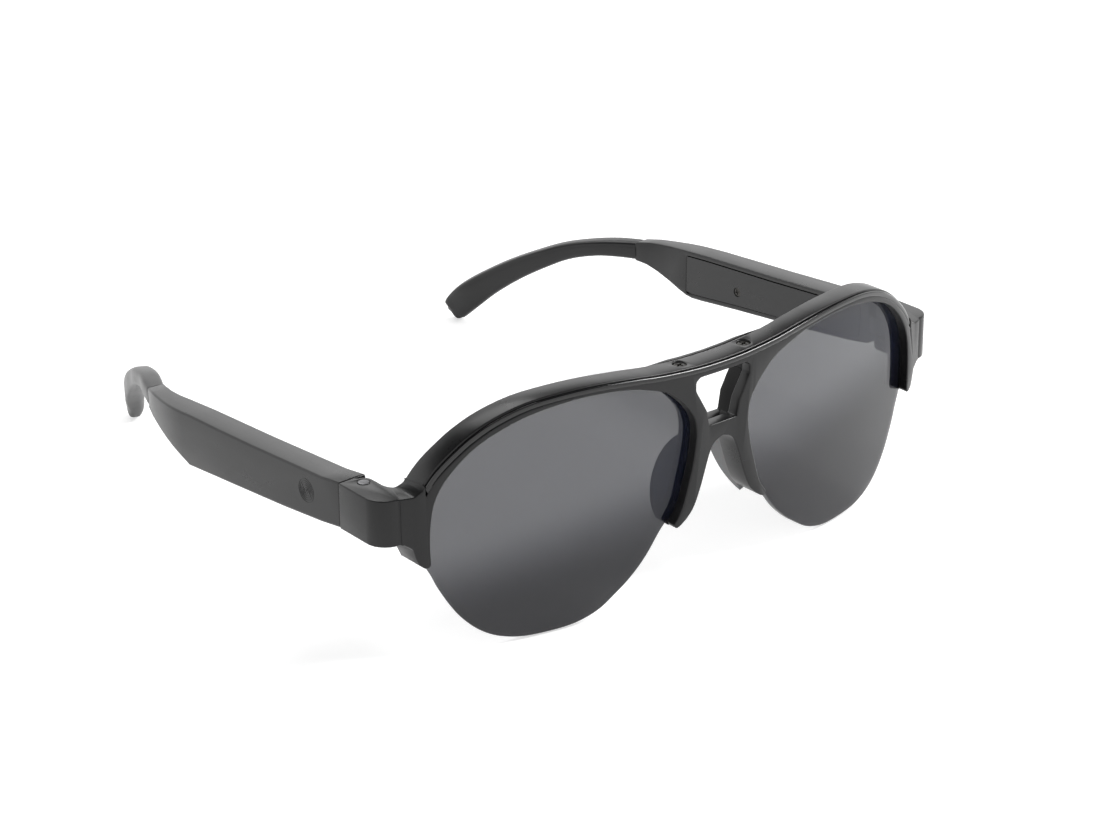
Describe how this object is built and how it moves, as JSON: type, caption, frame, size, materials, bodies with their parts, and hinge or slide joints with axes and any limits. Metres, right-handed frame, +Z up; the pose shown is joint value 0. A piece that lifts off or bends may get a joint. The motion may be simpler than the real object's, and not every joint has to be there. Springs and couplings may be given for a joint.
{
  "type": "smart glasses",
  "caption": "Half-rim wraparound sunglasses with a double bridge, smoked lenses and two folding temples that hold batteries, circuit boards and speakers.",
  "frame": {"origin": "middle of the overall width and depth, on the surface that the open glasses rest on", "axes": "+X to the wearer's left, +Y from the front back along the temples, +Z up"},
  "size_m": [0.1464, 0.1476, 0.0501],
  "materials": {
    "front_black": "moulded, polished to a soft gloss",
    "insert_black": "moulded, high gloss",
    "smoke_lens": "smoke grey polarised lens",
    "pad_silicone": "soft silicone, satin",
    "black_screw": "black oxide steel",
    "hinge_steel": "black plated steel",
    "temple_black": "moulded, satin gloss",
    "cover_black": "moulded, satin gloss",
    "tip_black": "overmoulded, gloss",
    "core_wire": "drawn wire",
    "cell_foil": "foil pouch",
    "board_green": "solder mask",
    "chip_black": "moulded package",
    "mic_can": "pressed can",
    "touch_copper": "copper film",
    "contact_gold": "gold plated",
    "speaker_black": "moulded frame",
    "mesh_steel": "woven mesh"
  },
  "bodies": {
    "front": {"front_frame": "front_black", "bridge_insert": "insert_black", "left_lens": "smoke_lens", "right_lens": "smoke_lens", "left_nose_pad": "pad_silicone", "right_nose_pad": "pad_silicone", "brow_screws": "black_screw", "hinge_pins": "hinge_steel"},
    "left_temple": {"left_temple_shell": "temple_black", "left_inner_cover": "cover_black", "left_cover_screw": "black_screw", "left_temple_tip": "tip_black", "left_tip_core": "core_wire", "left_battery": "cell_foil", "left_circuit_board": "board_green", "left_bluetooth_chip": "chip_black", "left_microphone": "mic_can", "left_touch_pad": "touch_copper", "left_charging_contacts": "contact_gold", "left_speaker": "speaker_black", "left_speaker_mesh": "mesh_steel"},
    "right_temple": {"right_temple_shell": "temple_black", "right_inner_cover": "cover_black", "right_cover_screw": "black_screw", "right_temple_tip": "tip_black", "right_tip_core": "core_wire", "right_battery": "cell_foil", "right_circuit_board": "board_green", "right_bluetooth_chip": "chip_black", "right_microphone": "mic_can", "right_touch_pad": "touch_copper", "right_charging_contacts": "contact_gold", "right_speaker": "speaker_black", "right_speaker_mesh": "mesh_steel"}
  },
  "joints": [
    {"name": "left_hinge", "type": "hinge", "parent": "front", "child": "left_temple", "pos_m": [0.0693, -0.05023, 0.0297], "axis": [0, 0, 1], "range_deg": [0, 82]},
    {"name": "right_hinge", "type": "hinge", "parent": "front", "child": "right_temple", "pos_m": [-0.0693, -0.05023, 0.0297], "axis": [0, 0, -1], "range_deg": [0, 71]}
  ]
}
